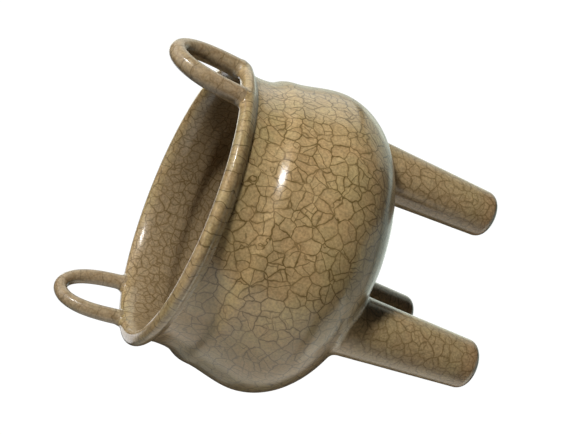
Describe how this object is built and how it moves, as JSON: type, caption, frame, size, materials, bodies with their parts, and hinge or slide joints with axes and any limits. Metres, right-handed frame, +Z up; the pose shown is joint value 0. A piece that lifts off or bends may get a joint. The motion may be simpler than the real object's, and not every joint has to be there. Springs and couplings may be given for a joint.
{
  "type": "incense burner",
  "caption": "Round crackle-glazed ceramic incense burner with a rolled lip, upright loop ears on the lip and straight tapering legs",
  "frame": {"origin": "on the ground, under the middle of the bowl", "axes": "+Z up; the front leg stands at -Y, the ears on the lip stand at +X and -X"},
  "size_m": [0.1588, 0.1588, 0.1963],
  "materials": {
    "crackled_glaze": "glossy, thick, finely crackled grey-yellow celadon glaze with brown crackle lines"
  },
  "bodies": {
    "root": {"incense_burner": "crackled_glaze"}
  },
  "joints": []
}
